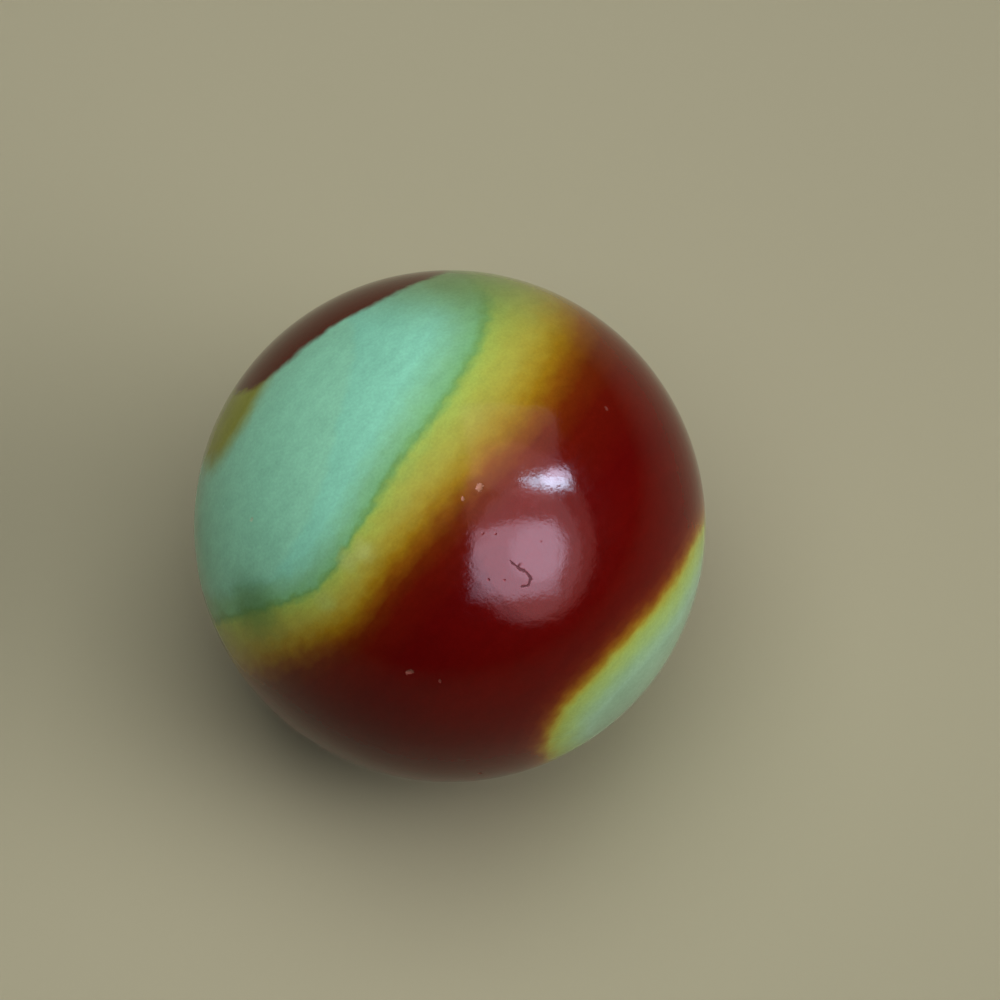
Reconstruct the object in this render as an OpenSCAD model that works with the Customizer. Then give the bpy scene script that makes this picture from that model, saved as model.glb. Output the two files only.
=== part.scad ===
// Glass marble, millimetres. A machine-rolled ball of opaque glass in which one
// broad red ribbon, with orange and yellow edges, is folded through mint glass.
//
// The ball is one solid. Its centre is the origin, and +Z is up as it lies on a
// table. It is drawn standing on the swirl's own pole, and turned as it lies at
// the end. Each colour is a field of the same sphere: a plane cuts the ball, and
// what lies beyond the plane is a round cap. One cap taken from another leaves a
// zone, or a crescent where the two lean different ways.
//
// A half angle says how far a cap reaches from the swirl's pole, and lean and
// lean_turn say how far, and which way round, its middle is off that pole.

/* [Ball] */
// Diameter of the ball
marble_d = 16; // [14:0.5:25]

/* [Swirl] */
// Turn of the swirl's pole about Z, from +X towards +Y
swirl_turn = -39; // [-180:1:180]
// Rise of the swirl's pole above the table's plane
swirl_rise = -16; // [-90:1:90]
// Turn of the swirl about its own pole
swirl_roll = -161; // [-180:1:180]

/* [Red ribbon] */
// Half angle of the glass above the ribbon
ribbon_top = 35; // [30:1:60]
// Half angle down to the ribbon's lower edge
ribbon_bottom = 92; // [80:1:95]
// Lean of the ribbon's upper edge
ribbon_lean = 8; // [0:1:12]

/* [Ribbon edges] */
// Width of the yellow edge above the ribbon
upper_edge = 9; // [4:1:12]
// Width of the orange edge below the ribbon
orange_edge = 7; // [2:1:10]
// Half angle down to the end of the yellow edge below the ribbon
yellow_bottom = 118; // [117:1:125]
// Lean of that yellow edge
yellow_lean = 10; // [0:1:12]

/* [Red spot] */
// Half angle of the spot where the ribbon's tail shows again
spot_size = 26; // [15:1:30]
// Lean of the spot off the swirl's lower pole
spot_lean = 15; // [0:1:20]
// Half angle of the yellow crescent beside the spot
crescent_size = 21; // [12:1:25]
// Lean of the crescent off the swirl's lower pole
crescent_lean = 7; // [0:1:10]

/* [Chips] */
// Width of a small chip in the surface
chip_w = 0.25; // [0.2:0.05:0.6]
// Depth of a small chip
chip_depth = 0.04; // [0.02:0.01:0.08]

/* [Hidden] */

marble_r = marble_d / 2;

// Neighbouring fields overlap by this angle, so that they fuse into one ball
seam = 0.2;

// Which way round the swirl each cap leans
ribbon_lean_turn = -90;
yellow_lean_turn = -160;
spot_lean_turn = -70;
crescent_lean_turn = 75;

// Each chip's turn round the swirl and its rise towards the swirl's pole
chip_places = [[-11, -1], [33, 16], [-2, 21]];
// A chip is a shallow bowl, left by a small ball of this radius
chip_r = (chip_w * chip_w / 4 + chip_depth * chip_depth) / (2 * chip_depth);

mint = "#8CCBAE";
yellow = "#A9AE45";
orange = "#8F5A12";
red = "#650A02";

$fn = 160;
chip_fn = 48;

module ball() {
    sphere(d = marble_d);
}

// All that lies beyond a plane, which cuts a round cap off the ball
module beyond(half_angle, lean = 0, lean_turn = 0) {
    rotate([0, lean, lean_turn])
        translate([0, 0, marble_r * cos(half_angle)])
            cylinder(r = marble_d, h = 2 * marble_d);
}

// The same, measured from the swirl's lower pole
module beyond_below(half_angle, lean, lean_turn) {
    beyond(half_angle, 180 - lean, lean_turn + 180);
}

module cap() {
    intersection() {
        ball();
        children();
    }
}

module upper_mint() {
    color(mint)
        cap()
            beyond(ribbon_top - upper_edge, ribbon_lean, ribbon_lean_turn);
}

module upper_yellow() {
    color(yellow)
        difference() {
            cap() beyond(ribbon_top, ribbon_lean, ribbon_lean_turn);
            beyond(ribbon_top - upper_edge - seam, ribbon_lean, ribbon_lean_turn);
        }
}

module red_ribbon() {
    color(red)
        difference() {
            cap() beyond(ribbon_bottom);
            beyond(ribbon_top - seam, ribbon_lean, ribbon_lean_turn);
        }
}

module orange_band() {
    color(orange)
        difference() {
            cap() beyond(ribbon_bottom + orange_edge);
            beyond(ribbon_bottom - seam);
        }
}

module lower_yellow() {
    color(yellow)
        difference() {
            cap() beyond(yellow_bottom, yellow_lean, yellow_lean_turn);
            beyond(ribbon_bottom + orange_edge - seam);
        }
}

module lower_mint() {
    color(mint)
        difference() {
            ball();
            beyond(yellow_bottom - seam, yellow_lean, yellow_lean_turn);
            beyond_below(spot_size - seam, spot_lean, spot_lean_turn);
            beyond_below(crescent_size - seam, crescent_lean, crescent_lean_turn);
        }
}

module yellow_crescent() {
    color(yellow)
        difference() {
            cap() beyond_below(crescent_size, crescent_lean, crescent_lean_turn);
            beyond_below(spot_size - seam, spot_lean, spot_lean_turn);
        }
}

module red_spot() {
    color(red)
        cap() beyond_below(spot_size, spot_lean, spot_lean_turn);
}

module chip() {
    translate([marble_r - chip_depth + chip_r, 0, 0])
        sphere(r = chip_r, $fn = chip_fn);
}

module marble() {
    rotate([0, 90 - swirl_rise, swirl_turn])
        rotate([0, 0, swirl_roll])
            difference() {
                union() {
                    upper_mint();
                    upper_yellow();
                    red_ribbon();
                    orange_band();
                    lower_yellow();
                    lower_mint();
                    yellow_crescent();
                    red_spot();
                }
                for (place = chip_places)
                    rotate([0, -place[1], place[0]])
                        chip();
            }
}

marble();
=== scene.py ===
# %% [markdown]
# # A swirled glass marble
# A playing marble of opaque glass, 16 mm across, lies on a plain pale table. The
# ball's size and place come from its CAD model, which is loaded first and stays as
# it is. What Blender adds is the surface: the flowing colours, the polish, and the
# few small knocks that a marble gets in use.

# %% The fixed frame
import math

import bmesh
import bpy
from mathutils import Matrix, Vector, noise


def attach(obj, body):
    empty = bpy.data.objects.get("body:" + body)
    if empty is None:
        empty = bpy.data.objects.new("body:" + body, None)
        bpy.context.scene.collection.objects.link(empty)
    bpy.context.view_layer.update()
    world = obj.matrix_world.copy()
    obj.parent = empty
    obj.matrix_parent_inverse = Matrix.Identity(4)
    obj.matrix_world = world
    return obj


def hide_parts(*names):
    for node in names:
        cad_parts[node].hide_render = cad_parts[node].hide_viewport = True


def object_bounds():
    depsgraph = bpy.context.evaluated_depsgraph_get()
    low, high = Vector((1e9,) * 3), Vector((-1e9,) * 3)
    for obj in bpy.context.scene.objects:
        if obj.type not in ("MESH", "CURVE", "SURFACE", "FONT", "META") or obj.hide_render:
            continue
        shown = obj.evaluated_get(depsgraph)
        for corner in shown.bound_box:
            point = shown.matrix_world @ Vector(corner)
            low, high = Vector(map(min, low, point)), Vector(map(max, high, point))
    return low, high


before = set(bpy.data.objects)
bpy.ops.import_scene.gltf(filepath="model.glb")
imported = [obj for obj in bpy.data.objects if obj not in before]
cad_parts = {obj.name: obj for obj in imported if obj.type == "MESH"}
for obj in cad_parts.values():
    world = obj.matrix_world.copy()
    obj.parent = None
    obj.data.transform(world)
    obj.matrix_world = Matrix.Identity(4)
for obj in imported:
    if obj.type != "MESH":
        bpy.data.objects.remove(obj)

cad_low, cad_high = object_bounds()
print("CAD box in mm:", [round(1000 * side, 3) for side in cad_high - cad_low])

# %% [markdown]
# ## The size of the ball
# The frame's origin is the ball's centre. The CAD mesh is made of flat triangles, so
# its box is a few microns smaller than the ball, and not quite even. The largest
# ball that stays inside that box takes the shortest distance from the centre to it.

# %% Ball size
mm = 0.001
ball_r = min(min(-cad_low), min(cad_high))
print("ball radius in mm:", round(ball_r / mm, 3))

# %% [markdown]
# ## Places on the swirl
# The colours run round the ball like the bands of a planet, so every mark is placed
# by its turn round the swirl's pole and its rise towards it, in degrees. Three
# angles turn that pole to where it points as the marble lies. They are the CAD
# source's angles, given here to a tenth of a degree.

# %% The swirl's own axes
swirl_turn = math.radians(-39.4)
swirl_rise = math.radians(-16.5)
swirl_roll = math.radians(-160.9)
stand = (
    Matrix.Rotation(swirl_turn, 3, "Z")
    @ Matrix.Rotation(math.pi / 2 - swirl_rise, 3, "Y")
    @ Matrix.Rotation(swirl_roll, 3, "Z")
)


def direction(turn, rise):
    """A unit vector from a turn and a rise in degrees."""
    turn = math.radians(turn)
    rise = math.radians(rise)
    flat = math.cos(rise)
    return Vector((flat * math.cos(turn), flat * math.sin(turn), math.sin(rise)))


def on_swirl(turn, rise):
    """The same, measured on the swirl and given in the row's frame."""
    return stand @ direction(turn, rise)


print("the swirl's pole points to", tuple(round(x, 3) for x in on_swirl(0, 90)))

# %% [markdown]
# ## The ball's mesh
# An icosphere has triangles of nearly one size all over, with no poles where they
# crowd together, so a polished surface reflects cleanly on every side. The knocks
# are far smaller than those triangles. The mesh is made finer only where a knock
# goes, by cutting the edges near it in half a few times and lifting the new points
# back onto the ball.

# %% A dense ball
ball = bmesh.new()
bmesh.ops.create_icosphere(ball, subdivisions=7, radius=ball_r)
print("triangles in the plain ball:", len(ball.faces))


def refine(mesh, near, passes):
    """Halves every edge whose ends near() accepts, several times over."""
    for _ in range(passes):
        edges = [e for e in mesh.edges if near(e.verts[0].co) and near(e.verts[1].co)]
        bmesh.ops.subdivide_edges(mesh, edges=edges, cuts=1, use_grid_fill=True)
        bmesh.ops.triangulate(mesh, faces=[f for f in mesh.faces if len(f.verts) > 3])
        for v in mesh.verts:
            v.co = v.co.normalized() * ball_r


# %% [markdown]
# ## Chips and pits
# Two marbles that hit each other can flake a tiny bowl out of the glass. Its rim is
# sharp and its outline is never a true circle. Each chip here has its place, its
# two widths, the way it lies, its depth, and how pale it looks. That paleness is
# partly the crushed glass in it and partly a painted glint, where a chip catches the
# light. The widest is 0.3 mm across. A pit is smaller still: a burst bubble or the
# prick of a grain of sand, too shallow to look pale.

# %% Chips and pits
# turn, rise, length in mm, width in mm, heading in degrees, depth in mm, and paleness, which is
# crushed glass and a painted glint
chips = [
    (-11.1, -0.7, 0.28, 0.20, 20, 0.030, 0.30),
    (-6.8, -1.7, 0.15, 0.10, 60, 0.016, 0.22),
    (31.7, 15.2, 0.30, 0.17, -35, 0.028, 0.14),
    (29.4, 21.8, 0.16, 0.09, 40, 0.014, 0.06),
    (-48.5, 8.3, 0.18, 0.12, 60, 0.014, 0.05),
    (36.4, -35.2, 0.20, 0.13, 0, 0.020, 0.25),
    (46.5, -44.2, 0.18, 0.10, 30, 0.020, 0.0),
    (67.0, 47.0, 0.24, 0.15, 30, 0.025, 0.2),
    (150.0, -8.0, 0.26, 0.18, 40, 0.030, 0.3),
    (-128.0, 30.0, 0.20, 0.14, -20, 0.022, 0.2),
]
# turn, rise, length in mm
pits = (
    (-4.1, 6.5, 0.09),
    (-6.0, 8.6, 0.08),
    (2.6, 14.3, 0.11),
    (0.3, 17.1, 0.10),
    (-12.0, 17.4, 0.08),
)
# depth in mm, and how wide a pit is for its length
pit_depth = 0.006
width_for_length = 0.8
for turn, rise, length in pits:
    chips.append((turn, rise, length, width_for_length * length, 0, pit_depth, 0.0))
chip_places = [on_swirl(turn, rise) * ball_r for turn, rise, *_ in chips]
rag_size = 0.05 * mm
rag_strength = 0.8


def chip_depth_at(point, chip, place):
    """How deep a chip is at a point of the surface, as a share of its full depth."""
    turn, rise, length, width, heading = chip[:5]
    north = (on_swirl(turn, rise + 1) - on_swirl(turn, rise)).normalized()
    east = north.cross(place.normalized())
    heading = math.radians(heading)
    away = point - place
    along = away.dot(east * math.cos(heading) + north * math.sin(heading)) / (length * mm / 2)
    across = away.dot(north * math.cos(heading) - east * math.sin(heading)) / (width * mm / 2)
    ragged = 1 + rag_strength * noise.noise(point / rag_size)
    return max(0.0, 1 - (along * along + across * across) * ragged)


print("chips and pits:", len(chips))

# %% [markdown]
# ## A scratch
# A grain of grit that was dragged over the marble has left a hairline groove, about
# 1 mm long, with a hook at its end. It runs through a few places in turn, and is
# widest half way. Its floor is ground dull, so it mirrors nothing, and it shows as a
# dark line where the polished glass round it mirrors a window. That dark line is
# also painted into its colour, as painted shade.

# %% Scratch
# turn, rise
scratch = (
    (-3.8, 15.0), (-3.8, 16.3), (-4.0, 18.1), (-4.4, 19.3), (-4.2, 21.2), (-2.6, 22.0), (-1.2, 21.0),
)
scratch_width = 0.16 * mm
# as a share of the full width
width_at_ends = 0.5
scratch_depth = 0.006 * mm
scratch_rag_size = 0.11 * mm
scratch_rag_strength = 1.3
scratch_points = [on_swirl(turn, rise) * ball_r for turn, rise in scratch]
scratch_middle = scratch_points[2]
scratch_reach = 0.9 * mm


def from_scratch(point):
    """How far a point is from the scratch, and how far along the scratch, from 0 to 1."""
    found = []
    runs = len(scratch_points) - 1
    for number in range(runs):
        start = scratch_points[number]
        run = scratch_points[number + 1] - start
        share = min(1.0, max(0.0, (point - start).dot(run) / run.length_squared))
        found.append(((point - start - run * share).length, (number + share) / runs))
    return min(found)


def scratch_depth_at(point):
    """How deep the scratch is at a point, as a share of its full depth."""
    distance, along = from_scratch(point)
    fullness = width_at_ends + (1 - width_at_ends) * math.sin(math.pi * along)
    half_width = scratch_width / 2 * fullness
    ragged = scratch_rag_strength * (1 + noise.noise(point / scratch_rag_size))
    return max(0.0, 1 - distance / half_width * ragged)


def near_scratch(point, distance):
    """Whether a point is within a distance of the scratch."""
    return (point - scratch_middle).length < scratch_reach and from_scratch(point)[0] < distance


ends = zip(scratch_points, scratch_points[1:])
print("scratch in mm:", round(sum((end - start).length for start, end in ends) / mm, 2))

# %% [markdown]
# ## Cutting the marks
# Each mark first gets small triangles, and then its points move inwards. Three values
# are kept at every point of the mesh for the material: how pale a chip is, which is
# crushed glass and a painted glint; how dull the glass is ground; and how dark the
# scratch is painted, as painted shade where it breaks the mirrored window. They rise
# quickly from a mark's rim, so that a deep mark has them in full over most of its floor.

# %% Cut the marks
# distance from the mark in mm, and how many times the edges within it are halved
scratch_steps = ((0.25, 1), (0.12, 2))
chip_steps = ((0.40, 1), (0.22, 2))
for distance, passes in scratch_steps:
    refine(ball, lambda co: near_scratch(co, distance * mm), passes)
for place in chip_places:
    for distance, passes in chip_steps:
        refine(ball, lambda co: (co - place).length < distance * mm, passes)
# how pale a chip is: crushed glass, and a painted glint where a chip catches the light
knocked_and_glinting = ball.verts.layers.float.new("knocked_and_glinting")
dulled = ball.verts.layers.float.new("dulled")
# how dark the scratch is painted: painted shade where the groove breaks the mirrored window
painted_scratch_shade = ball.verts.layers.float.new("painted_scratch_shade")
# no chip reaches further than this from its middle
chip_reach = 0.3 * mm
# a chip this deep in mm is fully dull
dull_depth = 0.010
# how many times faster than the depth these rise from the rim
scratch_dull_gain = 2.5
chip_pale_and_glint_gain = 3
for v in ball.verts:
    outward = v.co.normalized()
    depth = 0.0
    if (v.co - scratch_middle).length < scratch_reach:
        share = scratch_depth_at(v.co)
        depth = share * scratch_depth
        v[dulled] = min(1.0, scratch_dull_gain * share)
        # the scratch is painted dark as far as it is dull: painted shade
        v[painted_scratch_shade] = v[dulled]
    for chip, place in zip(chips, chip_places):
        if (v.co - place).length < chip_reach:
            share = chip_depth_at(v.co, chip, place)
            chip_depth, paleness_and_glint = chip[5:]
            depth = max(depth, share * chip_depth * mm)
            # a chip's paleness is partly crushed glass and partly a painted glint
            v[knocked_and_glinting] = max(v[knocked_and_glinting], paleness_and_glint * min(1.0, chip_pale_and_glint_gain * share))
            v[dulled] = max(v[dulled], min(1.0, share * chip_depth / dull_depth))
    v.co = v.co - outward * depth
print("triangles with the marks:", len(ball.faces))

# %% [markdown]
# ## The ball as a piece
# The finished mesh becomes one object. It takes the place of the CAD marble in the
# picture and rides on the same body.

# %% The ball as a piece
bmesh.ops.recalc_face_normals(ball, faces=ball.faces)
for face in ball.faces:
    face.smooth = True
marble_mesh = bpy.data.meshes.new("marble_glass")
ball.to_mesh(marble_mesh)
ball.free()
marble = bpy.data.objects.new("marble_glass", marble_mesh)
bpy.context.collection.objects.link(marble)
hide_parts("marble")
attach(marble, "root")
print("piece:", marble.name, "with", len(marble_mesh.vertices), "points")

# %% [markdown]
# ## Nodes and colours
# Two small helpers. One turns a colour as it is seen on a screen into the linear
# light that Blender calculates with. The other adds a node, sets it and links it. Its
# inputs go by their label, or by their number where several have the same label.

# %% Helpers for materials


def linear(hex_colour):
    """An sRGB colour such as #7FC6AD as linear red, green, blue and alpha."""
    channels = [int(hex_colour[i:i + 2], 16) / 255 for i in (1, 3, 5)]
    return [c / 12.92 if c <= 0.04045 else ((c + 0.055) / 1.055) ** 2.4 for c in channels] + [1.0]


def add_node(tree, kind, settings=None, inputs=None):
    """Adds a shader node. An input is a value, or another node's output to link to."""
    node = tree.nodes.new("ShaderNode" + kind)
    for name, value in (settings or {}).items():
        setattr(node, name, value)
    for socket, value in (inputs or {}).items():
        if isinstance(value, bpy.types.NodeSocket):
            tree.links.new(value, node.inputs[socket])
        else:
            node.inputs[socket].default_value = value
    return node


print("mint as linear light:", [round(c, 3) for c in linear("#82C6AB")[:3]])

# %% [markdown]
# ## Swirled glass
# The real thing is soda-lime glass, made opaque, with coloured glass poured in and
# cut into gobs that roll round between turning screws. It comes out fire polished,
# so it is smooth and mirrors what is bright. The colours are streams that were
# pulled out long, so each edge runs round the ball as a soft wavy line. A painted
# image could show that, but it would blur up close and need a seam. Here the material
# works the colours out from the place itself, so they are as fine as they need to be.
#
# First, Object coordinates are turned upright on the swirl and read in millimetres.

# %% A place on the glass
glass = bpy.data.materials.new("swirled_soda_lime_glass")
glass.use_nodes = True
tree = glass.node_tree
tree.nodes.clear()
place = add_node(tree, "TexCoord").outputs["Object"]
to_swirl = {"Vector": place, "Rotation": stand.to_euler()}
upright = add_node(tree, "Mapping", {"vector_type": "TEXTURE"}, to_swirl).outputs[0]
in_mm = add_node(tree, "VectorMath", {"operation": "SCALE"}, {0: upright, "Scale": 1 / mm}).outputs[0]
print("the swirl stands at", [round(math.degrees(angle), 1) for angle in stand.to_euler()], "degrees")

# %% [markdown]
# ## Noise at real sizes
# Stirred glass is uneven at several sizes at once. Each kind of unevenness is a noise
# texture with a feature size in millimetres. Where it was pulled along the flow, the
# noise is stretched round the swirl, by scaling down the two axes across its pole.

# %% Clouds of noise
# name: feature size in mm, scale across the pole, seed
clouds = {
    "slow bend": (1.4, 0.6, 23.0),
    "quick bend": (0.3, 0.6, 58.0),
    "streaks": (0.28, 0.45, 114.0),
    "shade": (1.6, 0.5, 81.0),
    "bubbles": (0.075, 0.8, 37.0),
    "scuffs": (0.22, 1.0, 45.0),
}
for name, (size, squash, seed) in clouds.items():
    moved = {"Vector": in_mm, "Location": (seed, seed, seed), "Scale": (squash, squash, 1.0)}
    spot = add_node(tree, "Mapping", {}, moved).outputs[0]
    grained = {"Vector": spot, "Scale": 1 / size, "Detail": 2.0}
    clouds[name] = add_node(tree, "TexNoise", {}, grained).outputs
print("clouds of noise:", len(clouds))

# %% [markdown]
# ## Turn and rise
# The direction from the ball's centre is bent a little by two of the clouds, so that
# no edge is a clean line. A cloud's colour is three noises round middle grey, and what
# is left when that grey is taken away points to any side. The direction's height above
# the swirl's middle gives the rise, and its angle round the pole gives the turn, here
# as a share of the full round.

# %% Turn and rise of a place
middle_grey = (0.5, 0.5, 0.5)
# cloud, how far it bends a direction
bends = (("slow bend", 0.03), ("quick bend", 0.045))
bent = add_node(tree, "VectorMath", {"operation": "NORMALIZE"}, {0: in_mm}).outputs[0]
for name, strength in bends:
    from_middle = {0: clouds[name]["Color"], 1: middle_grey}
    centred = add_node(tree, "VectorMath", {"operation": "SUBTRACT"}, from_middle).outputs[0]
    weaker = {0: centred, "Scale": strength}
    bend = add_node(tree, "VectorMath", {"operation": "SCALE"}, weaker).outputs[0]
    bent = add_node(tree, "VectorMath", {"operation": "ADD"}, {0: bent, 1: bend}).outputs[0]
bent = add_node(tree, "VectorMath", {"operation": "NORMALIZE"}, {0: bent}).outputs[0]
axes = add_node(tree, "SeparateXYZ", {}, {0: bent}).outputs
height_angle = add_node(tree, "Math", {"operation": "ARCSINE"}, {0: axes["Z"]}).outputs[0]
in_degrees = {0: height_angle, 1: math.degrees(1)}
rise = add_node(tree, "Math", {"operation": "MULTIPLY"}, in_degrees).outputs[0]
round_angle = add_node(tree, "Math", {"operation": "ARCTAN2"}, {0: axes["Y"], 1: axes["X"]}).outputs[0]
as_share = {0: round_angle, 1: 1 / math.tau, 2: 0.5}
turn = add_node(tree, "Math", {"operation": "MULTIPLY_ADD"}, as_share).outputs[0]
print("nodes so far:", len(tree.nodes))

# %% [markdown]
# ## Edges that wave round the ball
# An edge between two colours climbs and dips as it goes round. A Float Curve node
# draws it through a few points, from a turn to a rise. It is as easy to read as a
# graph, and each point can be moved by itself. Every edge meets itself at the back.
# The curve works from 0 to 1 both ways, so turns and rises become shares of the full
# round and of the way from pole to pole, and its result goes back to degrees.

# %% Edges
# edge: turn and rise of its points
edge_points = {
    "ribbon top": (
        (-180, 47), (-135, 44), (-90, 43), (-70, 45), (-55, 48), (-42, 50), (0, 50.5),
        (20, 50.5), (33, 52.8), (45, 56.2), (60, 60.5), (90, 62), (135, 56), (180, 47),
    ),
    "ribbon bottom": (
        (-180, 0), (-135, 1), (-90, 2), (-60, 3.6), (-45, 4.5), (-30, 5.8), (-15, 5.2), (0, 3.5),
        (15, 3), (30, 4), (45, 2), (60, -2), (90, -5), (135, -3), (180, 0),
    ),
    "mint": (
        (-180, -37), (-135, -40), (-90, -42), (-75, -38), (-65, -33), (-55, -27.5), (-45, -23.8),
        (-30, -20.4), (-15, -18.7), (0, -16.9), (15, -14.3), (25, -12.6), (33, -13), (45, -17.5),
        (60, -22), (75, -25), (90, -27), (135, -33), (180, -37),
    ),
    "fold": (
        (-180, -50), (-120, -64), (-60, -64), (-45, -60), (-30, -51), (-15, -42.5), (-5, -37.5),
        (5, -31.5), (15, -26.5), (30, -22.5), (60, -22), (90, -34), (180, -50),
    ),
    "spot": (
        (-180, -66), (-150, -57), (-120, -47), (-90, -42), (-72, -43.6), (-60, -47.4), (-45, -52.4),
        (-30, -58), (-15, -61), (0, -62.8), (10, -64.5), (25, -70), (60, -79), (90, -81),
        (135, -76), (180, -66),
    ),
    "crescent": (
        (-180, -78), (-90, -78), (-10, -68), (10, -63), (20, -60), (30, -58), (45, -56.5), (60, -58.5),
        (75, -63), (90, -68), (120, -75), (180, -78),
    ),
}
edges = {}
for name, points in edge_points.items():
    node = add_node(tree, "FloatCurve", {}, {"Value": turn})
    curve = node.mapping.curves[0]
    spots = [((at + 180) / 360, (height + 90) / 180) for at, height in points]
    curve.points[0].location = spots[0]
    curve.points[1].location = spots[-1]
    for x, y in spots[1:-1]:
        curve.points.new(x, y)
    node.mapping.update()
    back_to_degrees = {0: node.outputs[0], 1: 180, 2: -90}
    edges[name] = add_node(tree, "Math", {"operation": "MULTIPLY_ADD"}, back_to_degrees).outputs[0]
    print("edge:", name, "through", len(curve.points), "points")

# %% [markdown]
# ## The colours across the swirl
# The ribbon is a deep red. Where red thins out over green it turns orange, mustard
# and yellow, and just before the mint begins the glass is darkest green. Below the
# ribbon that change is as wide as the gap between two edges, and above it is always
# narrow. One colour ramp runs from red to mint on each side, and the two meet in the
# middle of the ribbon, where both are the same red.

# %% Colour ramps
# where the ribbon's lower edge lies on the lower ramp, and how much of it the gap takes
lower_edge_at = 0.25
lower_gap_share = 0.5
# where the ribbon's upper edge lies on the upper ramp, and all of that ramp in degrees
upper_edge_at = 0.3
upper_width = 24
# where mint begins on the lower ramp, and where it is full
mint_begins = 0.85
mint_full = 0.97
to_below = {0: edges["ribbon bottom"], 1: rise}
below = add_node(tree, "Math", {"operation": "SUBTRACT"}, to_below).outputs[0]
between_edges = {0: edges["ribbon bottom"], 1: edges["mint"]}
gap = add_node(tree, "Math", {"operation": "SUBTRACT"}, between_edges).outputs[0]
share = add_node(tree, "Math", {"operation": "DIVIDE"}, {0: below, 1: gap}).outputs[0]
on_lower = {0: share, 1: lower_gap_share, 2: lower_edge_at}
down = add_node(tree, "Math", {"operation": "MULTIPLY_ADD"}, on_lower).outputs[0]
to_over = {0: rise, 1: edges["ribbon top"]}
over = add_node(tree, "Math", {"operation": "SUBTRACT"}, to_over).outputs[0]
on_upper = {0: over, 1: 1 / upper_width, 2: upper_edge_at}
up = add_node(tree, "Math", {"operation": "MULTIPLY_ADD"}, on_upper).outputs[0]
lower_stops = (
    (0.00, "#510302"), (0.22, "#570D03"), (0.32, "#5E2004"), (0.40, "#76450A"), (0.46, "#8A6812"),
    (0.52, "#978328"), (0.585, "#9C963B"), (0.66, "#9CA346"), (0.71, "#97AA4E"), (0.735, "#82A252"),
    (0.755, "#6C9958"), (0.79, "#76AC7A"), (mint_begins, "#7BB38A"), (mint_full, "#82C6AB"),
)
upper_stops = (
    (0.00, "#530402"), (0.14, "#5A0E03"), (0.24, "#6A2604"), (0.31, "#804A08"), (0.37, "#917018"),
    (0.43, "#9E9E3C"), (0.50, "#9AAC55"), (0.64, "#98B56F"), (0.76, "#93B687"), (0.92, "#92B797"),
    (1.00, "#8CAE90"),
)
ramps = {}
for name, factor, stops in (("lower", down, lower_stops), ("upper", up, upper_stops)):
    node = add_node(tree, "ValToRGB", {}, {"Fac": factor})
    band = node.color_ramp.elements
    for element, (position, colour) in zip(band, (stops[0], stops[-1])):
        element.position = position
        element.color = linear(colour)
    for position, colour in stops[1:-1]:
        band.new(position).color = linear(colour)
    ramps[name] = node.outputs["Color"]
    print("ramp:", name, "with", len(band), "colours")

# %% [markdown]
# ## The folded mint
# The mint stream was folded over once while it was soft. The layer underneath is a
# little greyer, and its border shows as a faint line across the mint. The two ramps
# then meet in a band along the middle of the ribbon.
#
# In a Mix node set to colours, input 0 says how much of the second colour is taken,
# inputs 6 and 7 are the two colours, and output 2 is the result.

# %% Folded mint
# degrees above the fold's edge where the grey begins, and below it where it is full
fold_above = 1.2
fold_below = 1.6
# rises in degrees between which the upper ramp takes over from the lower one
meet_from = 18
meet_to = 30
soft_step = {"interpolation_type": "SMOOTHSTEP"}
colour_mix = {"data_type": "RGBA"}
to_fold = {0: rise, 1: edges["fold"]}
above_fold = add_node(tree, "Math", {"operation": "SUBTRACT"}, to_fold).outputs[0]
to_under = {"Value": above_fold, "From Min": fold_above, "From Max": -fold_below}
under_fold = add_node(tree, "MapRange", soft_step, to_under).outputs[0]
to_mint = {"Value": down, "From Min": mint_begins, "From Max": mint_full}
in_mint = add_node(tree, "MapRange", soft_step, to_mint).outputs[0]
greyer = add_node(tree, "Math", {"operation": "MULTIPLY"}, {0: in_mint, 1: under_fold}).outputs[0]
folded = {0: greyer, 6: ramps["lower"], 7: linear("#87C6A7")}
lower = add_node(tree, "Mix", colour_mix, folded).outputs[2]
mid_ribbon = {"Value": rise, "From Min": meet_from, "From Max": meet_to}
upper_side = add_node(tree, "MapRange", soft_step, mid_ribbon).outputs[0]
both_sides = {0: upper_side, 6: lower, 7: ramps["upper"]}
colour = add_node(tree, "Mix", colour_mix, both_sides).outputs[2]
print("nodes so far:", len(tree.nodes))

# %% [markdown]
# ## Blotches
# Where the streams tangled, a few places are paler or darker than the rest. Each is a
# round spot of colour round a direction, with a wide soft border, laid on thinly.

# %% Blotches
# turn, rise, radius in degrees, half its border in degrees, colour, strength
blotches = (
    (17, -10, 2.2, 1.6, "#ADB368", 0.6),
    (21, -11.5, 2.0, 1.6, "#A9B068", 0.5),
    (32, -9.5, 2.2, 1.6, "#9CA95A", 0.5),
    (51, -20, 7.0, 5.0, "#466E3A", 0.55),
    (-68, -38, 17.0, 13.0, "#6E8A52", 0.8),
)
for turn_at, rise_at, radius, border, tint, strength in blotches:
    beside = {0: bent, 1: direction(turn_at, rise_at)}
    closeness = add_node(tree, "VectorMath", {"operation": "DOT_PRODUCT"}, beside).outputs["Value"]
    angle = add_node(tree, "Math", {"operation": "ARCCOSINE"}, {0: closeness}).outputs[0]
    fade = {
        "Value": angle,
        "From Min": math.radians(radius + border),
        "From Max": math.radians(radius - border),
        "To Max": strength,
    }
    inside = add_node(tree, "MapRange", soft_step, fade).outputs[0]
    colour = add_node(tree, "Mix", colour_mix, {0: inside, 6: colour, 7: linear(tint)}).outputs[2]
print("blotches:", len(blotches))

# %% [markdown]
# ## The spot at the lower pole
# The ribbon's tail comes through once more as a dark red spot, with a crescent of
# yellow along one side. The spot's border is narrow, and the crescent's is wide.

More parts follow.
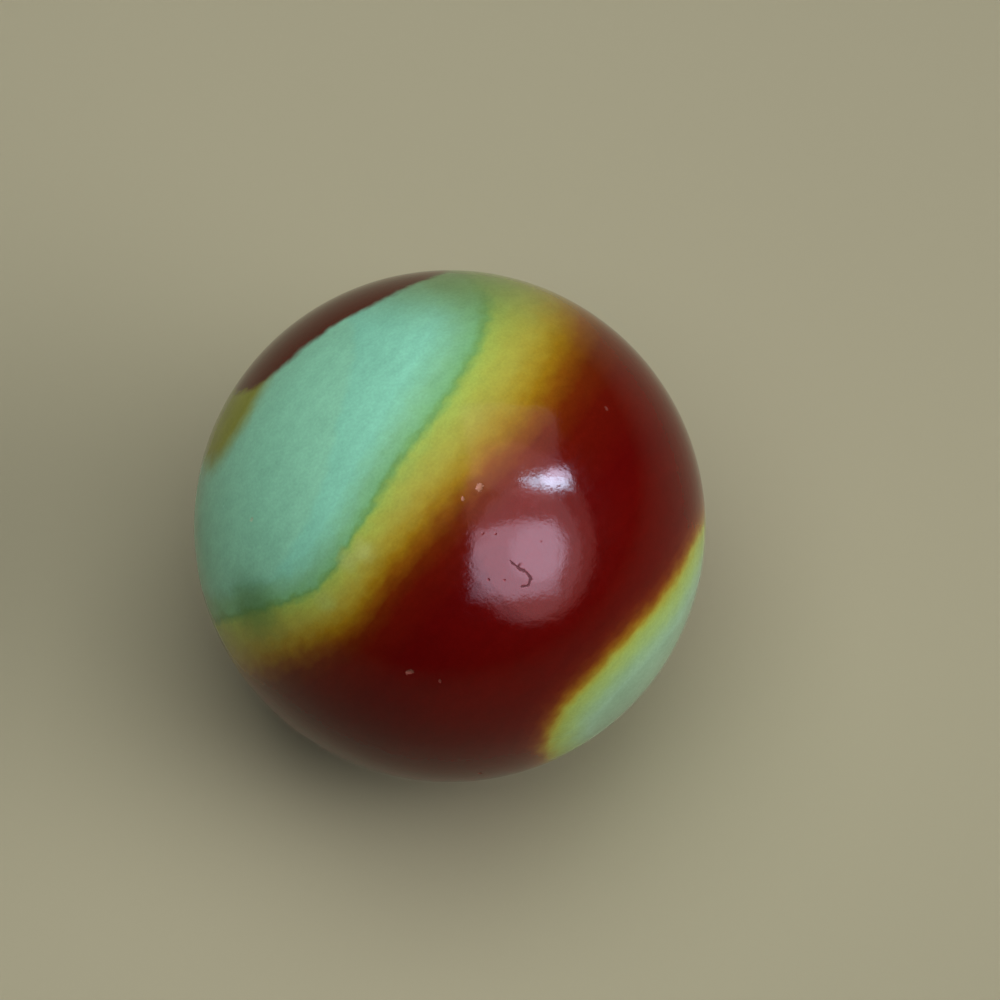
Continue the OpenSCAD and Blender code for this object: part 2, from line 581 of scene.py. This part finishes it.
# %% Crescent and spot
# edge, degrees outside it where the colour starts, degrees inside it where it is full, colour
laid_on = (
    ("crescent", 5.0, 4.0, "#82872C"),
    ("spot", 1.8, 1.6, "#4E0F03"),
)
for name, outside, within, tint in laid_on:
    depth = add_node(tree, "Math", {"operation": "SUBTRACT"}, {0: edges[name], 1: rise}).outputs[0]
    fade = {"Value": depth, "From Min": -outside, "From Max": within}
    inside = add_node(tree, "MapRange", soft_step, fade).outputs[0]
    colour = add_node(tree, "Mix", colour_mix, {0: inside, 6: colour, 7: linear(tint)}).outputs[2]
    print("laid on:", name)

# %% [markdown]
# ## Streaks, bubbles and marks
# Molten glass that is stirred keeps fine streaks of slightly different strength, and
# tiny bubbles just under its skin. Both make the colour a little lighter or darker.
# In a chip the glass is paler: partly crushed glass, partly a painted glint. The
# scratch is painted dark, as painted shade where it breaks the mirrored window.

# %% Streaks, bubbles and marks
# cloud, how far apart the palest and the darkest glass are
shadings = (("streaks", 0.26), ("shade", 0.24), ("bubbles", 0.30))
strength = 1.0
for name, amount in shadings:
    part = {0: clouds[name]["Fac"], 1: amount, 2: -amount / 2}
    around_zero = add_node(tree, "Math", {"operation": "MULTIPLY_ADD"}, part).outputs[0]
    strength = add_node(tree, "Math", {"operation": "ADD"}, {0: strength, 1: around_zero}).outputs[0]
grey = add_node(tree, "CombineColor", {}, {0: strength, 1: strength, 2: strength}).outputs[0]
times = {"data_type": "RGBA", "blend_type": "MULTIPLY"}
colour = add_node(tree, "Mix", times, {0: 1.0, 6: colour, 7: grey}).outputs[2]
knock_and_glint = add_node(tree, "Attribute", {"attribute_name": "knocked_and_glinting"}).outputs["Fac"]
# painted shade in the scratch
scratch_shade = add_node(tree, "Attribute", {"attribute_name": "painted_scratch_shade"}).outputs["Fac"]
dull = add_node(tree, "Attribute", {"attribute_name": "dulled"}).outputs["Fac"]
# chips turn pale pink: partly crushed glass, partly a painted glint
crushed_and_glinting = {0: knock_and_glint, 6: colour, 7: linear("#CF9A7E")}
colour = add_node(tree, "Mix", colour_mix, crushed_and_glinting).outputs[2]
# painted shade: the scratch's floor is painted dark where the groove breaks the mirrored window
scratch_shade_cover = 0.85
thick_scratch_shade = add_node(tree, "Math", {"operation": "MULTIPLY"}, {0: scratch_shade, 1: scratch_shade_cover}).outputs[0]
scratch_shaded = {0: thick_scratch_shade, 6: colour, 7: linear("#2B0F12")}
colour = add_node(tree, "Mix", colour_mix, scratch_shaded).outputs[2]
print("nodes so far:", len(tree.nodes))

# %% [markdown]
# ## The polished skin
# Fire-polished glass is nearly a mirror, with the IOR of window glass, 1.52. Handling
# has left it very slightly uneven: the roughness wavers round 0.12, and a bump of a
# few microns makes the border of a mirrored window ragged. In the chips and the
# scratch it is dull. A worn marble mirrors less than a new one, and deep colours show
# best when its skin is quiet, so the specular level is below the usual 0.5.

# %% The glass
best_polish = 0.055
scuff_roughness = 0.12
dull_roughness = 0.45
grain_share = 0.4
bump_height = 0.0034 * mm
scuffs = clouds["scuffs"]["Fac"]
grain = clouds["bubbles"]["Fac"]
scuffed = {0: scuffs, 1: scuff_roughness, 2: best_polish}
polish = add_node(tree, "Math", {"operation": "MULTIPLY_ADD"}, scuffed).outputs[0]
ground = {0: dull, 1: dull_roughness, 2: polish}
roughness = add_node(tree, "Math", {"operation": "MULTIPLY_ADD"}, ground).outputs[0]
both_sizes = {0: grain, 1: grain_share, 2: scuffs}
uneven = add_node(tree, "Math", {"operation": "MULTIPLY_ADD"}, both_sizes).outputs[0]
bumps = {"Strength": 1.0, "Distance": bump_height, "Height": uneven}
skin = add_node(tree, "Bump", {}, bumps).outputs[0]
finish = {
    "Base Color": colour,
    "Roughness": roughness,
    "IOR": 1.52,
    "Specular IOR Level": 0.15,
    "Normal": skin,
}
surface = add_node(tree, "BsdfPrincipled", {}, finish).outputs[0]
add_node(tree, "OutputMaterial", {}, {"Surface": surface})
marble_mesh.materials.append(glass)
print("nodes in the glass:", len(tree.nodes))

# %% [markdown]
# ## The table
# A plain table top with a matt coat of warm pale paint, chalky enough to mirror
# nothing. It lies at the ball's lowest point, and reaches far enough that its end is
# out of sight.

# %% Table
table_reach = 0.8
top = bmesh.new()
bmesh.ops.create_grid(top, x_segments=1, y_segments=1, size=table_reach)
bmesh.ops.translate(top, verts=top.verts, vec=(0, 0, -ball_r))
table_mesh = bpy.data.meshes.new("table")
top.to_mesh(table_mesh)
top.free()
table = bpy.data.objects.new("table", table_mesh)
bpy.context.collection.objects.link(table)
paint = bpy.data.materials.new("pale_matt_paint")
paint.use_nodes = True
paint_shader = paint.node_tree.nodes["Principled BSDF"]
paint_shader.inputs["Base Color"].default_value = linear("#A29D84")
paint_shader.inputs["Roughness"].default_value = 0.8
paint_shader.inputs["Specular IOR Level"].default_value = 0.0
table_mesh.materials.append(paint)
print("table top at", round(-ball_r / mm, 3), "mm")

# %% [markdown]
# ## The light
# Every lamp is a flat softbox that faces the ball. Its place and size are given in
# degrees as the ball sees them, and its brightness is that of its own surface, so a
# lamp can be moved nearer or further and still light the ball the same.
#
# Two lamps light the scene: a large one overhead, close enough that the table fades
# into the distance, and a weaker one at the right. They do not show in the polish.

# %% Softboxes


def softbox(name, turn, rise, wide, tall, brightness, roll=0, distance=0.3, shape="RECTANGLE"):
    """A flat lamp that faces the ball, with its size in degrees as the ball sees it."""
    lamp = bpy.data.lights.new(name, "AREA")
    lamp.shape = shape
    lamp.size = 2 * distance * math.tan(math.radians(wide) / 2)
    lamp.size_y = 2 * distance * math.tan(math.radians(tall) / 2)
    lamp.energy = brightness * math.pi * lamp.size * lamp.size_y
    holder = bpy.data.objects.new(name, lamp)
    bpy.context.collection.objects.link(holder)
    holder.location = direction(turn, rise) * distance
    facing = direction(turn, rise).to_track_quat("Z", "Y").to_matrix()
    holder.rotation_euler = (facing @ Matrix.Rotation(math.radians(roll), 3, "Z")).to_euler()
    holder.visible_camera = False
    print(name, "power in watts:", round(lamp.energy, 3))
    return holder


overhead = softbox("overhead", turn=0, rise=90, wide=50, tall=50, brightness=3.5, distance=0.1)
side = softbox("side", turn=-14, rise=30, wide=70, tall=48, brightness=0.62, distance=0.6)
side.data.spread = math.radians(60)
for lamp in (overhead, side):
    lamp.visible_glossy = False

# %% [markdown]
# ## What the glass mirrors
# Glass has to mirror something, or it looks like plastic. This ball stands in a dim
# room with one window, so it mirrors the wall and the room round it, a curtain, the
# window, the sky behind its panes, and a narrow gap where the sun comes in. Each shape
# is a softbox that is seen only in the polish and lights nothing, so the colours stay
# as written. Where two shapes overlap, their light adds up, which gives the window its
# brighter middle and its soft border.

# %% Mirrored shapes
# name, turn, rise, wide, tall, brightness, roll, shape, colour
mirrored = (
    ("wall", 25, 60, 40, 40, 2.4, 70, "RECTANGLE", "#FFC4CE"),
    ("room", -30, 45, 55, 80, 2.5, -25, "ELLIPSE", "#FF9C95"),
    ("curtain", -42, 39, 50, 58, 2.5, -30, "ELLIPSE", "#FFC4CE"),
    ("window", -50, 40, 40, 32, 5.5, -30, "RECTANGLE", "#F0E0FF"),
    ("pane", -46, 40, 44, 34, 4.0, -30, "ELLIPSE", "#F0E0FF"),
    ("sky", -37, 37, 26, 24, 4.0, -30, "ELLIPSE", "#F0E0FF"),
    ("gap", 0, 47, 24, 5, 36.0, -80, "ELLIPSE", "#C0E1FF"),
    ("flare", 4, 43, 14, 7, 27.0, -65, "ELLIPSE", "#E1DDFF"),
)
for name, turn_at, rise_at, wide, tall, brightness, roll, shape, tint in mirrored:
    lamp = softbox(name, turn_at, rise_at, wide, tall, brightness, roll, shape=shape)
    lamp.data.color = linear(tint)[:3]
    lamp.visible_diffuse = False

# %% [markdown]
# ## The room's own light
# A trace of even white light from all round keeps the shadows from going black. The
# Standard view transform shows every colour as it is written.

# %% World
room_strength = 0.04
world = bpy.data.worlds.new("room")
world.use_nodes = True
room_light = world.node_tree.nodes["Background"]
room_light.inputs["Color"].default_value = (1, 1, 1, 1)
room_light.inputs["Strength"].default_value = room_strength
bpy.context.scene.world = world
bpy.context.scene.view_settings.view_transform = "Standard"
print("world strength:", room_strength)

# %% [markdown]
# ## The camera
# It looks down steeply on the marble from a hand's length away. Its lens is worked
# out from how much of the picture's width the ball takes. The camera then slides a
# little sideways and up, so that the ball lies left of the middle and just below it.

# %% Camera
camera_rise = 65
camera_distance = 0.24
ball_share = 0.512
slide_right = 0.197 * ball_r
slide_up = 0.102 * ball_r
lens = bpy.data.cameras.new("camera")
sight = math.sqrt(camera_distance ** 2 - ball_r ** 2)
lens.sensor_width = 36
lens.lens = lens.sensor_width * ball_share * sight / (2 * ball_r)
lens.clip_start = 0.01
lens.clip_end = 5
eye = bpy.data.objects.new("camera", lens)
bpy.context.collection.objects.link(eye)
toward = direction(-90, camera_rise)
across = Vector((1, 0, 0))
upward = toward.cross(across)
eye.location = toward * camera_distance + across * slide_right + upward * slide_up
eye.rotation_euler = toward.to_track_quat("Z", "Y").to_euler()
bpy.context.scene.camera = eye
print("lens in mm:", round(lens.lens, 1))
